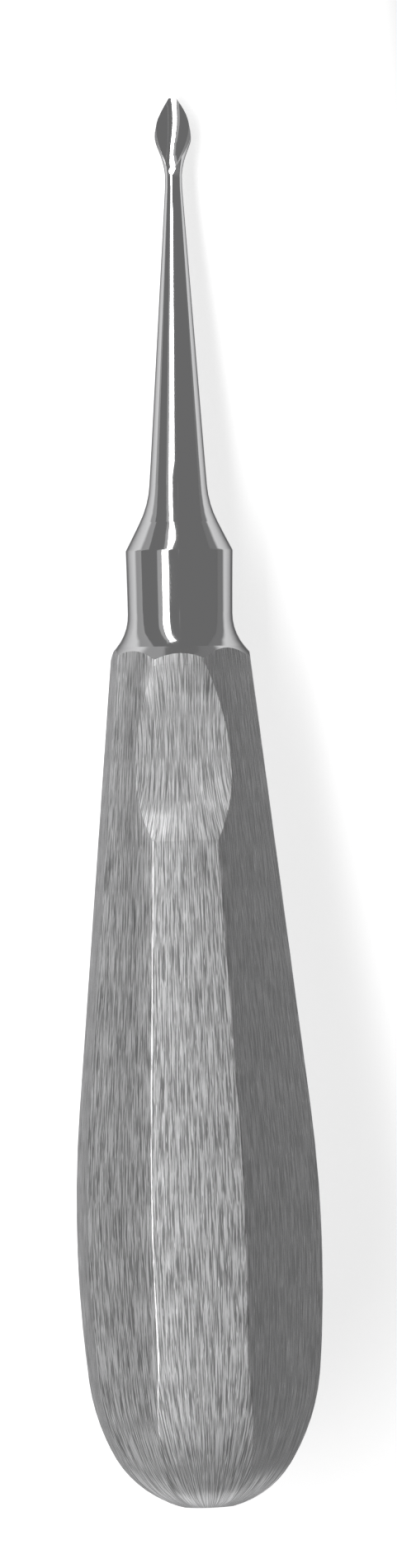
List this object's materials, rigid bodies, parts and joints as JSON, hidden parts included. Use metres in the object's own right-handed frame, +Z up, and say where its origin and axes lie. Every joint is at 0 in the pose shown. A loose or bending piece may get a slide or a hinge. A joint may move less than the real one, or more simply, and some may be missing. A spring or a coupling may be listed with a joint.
{
  "type": "dental elevator",
  "caption": "Straight dental elevator: pear-shaped faceted steel handle with a thumb hollow, turned neck, tapered shank and a small hollow-ground spear blade.",
  "frame": {"origin": "middle of the flat of the handle's back facet, on which the instrument rests", "axes": "+Y towards the tip of the blade, +Z up and out of the back of the resting facet towards the front of the handle, +X to the right seen from above with the tip pointing away"},
  "size_m": [0.0253, 0.1454, 0.0263],
  "materials": {
    "steel": "bare stainless steel, brushed along the handle's facets and polished on the neck, shank and blade"
  },
  "bodies": {
    "root": {"elevator": "steel"}
  },
  "joints": []
}
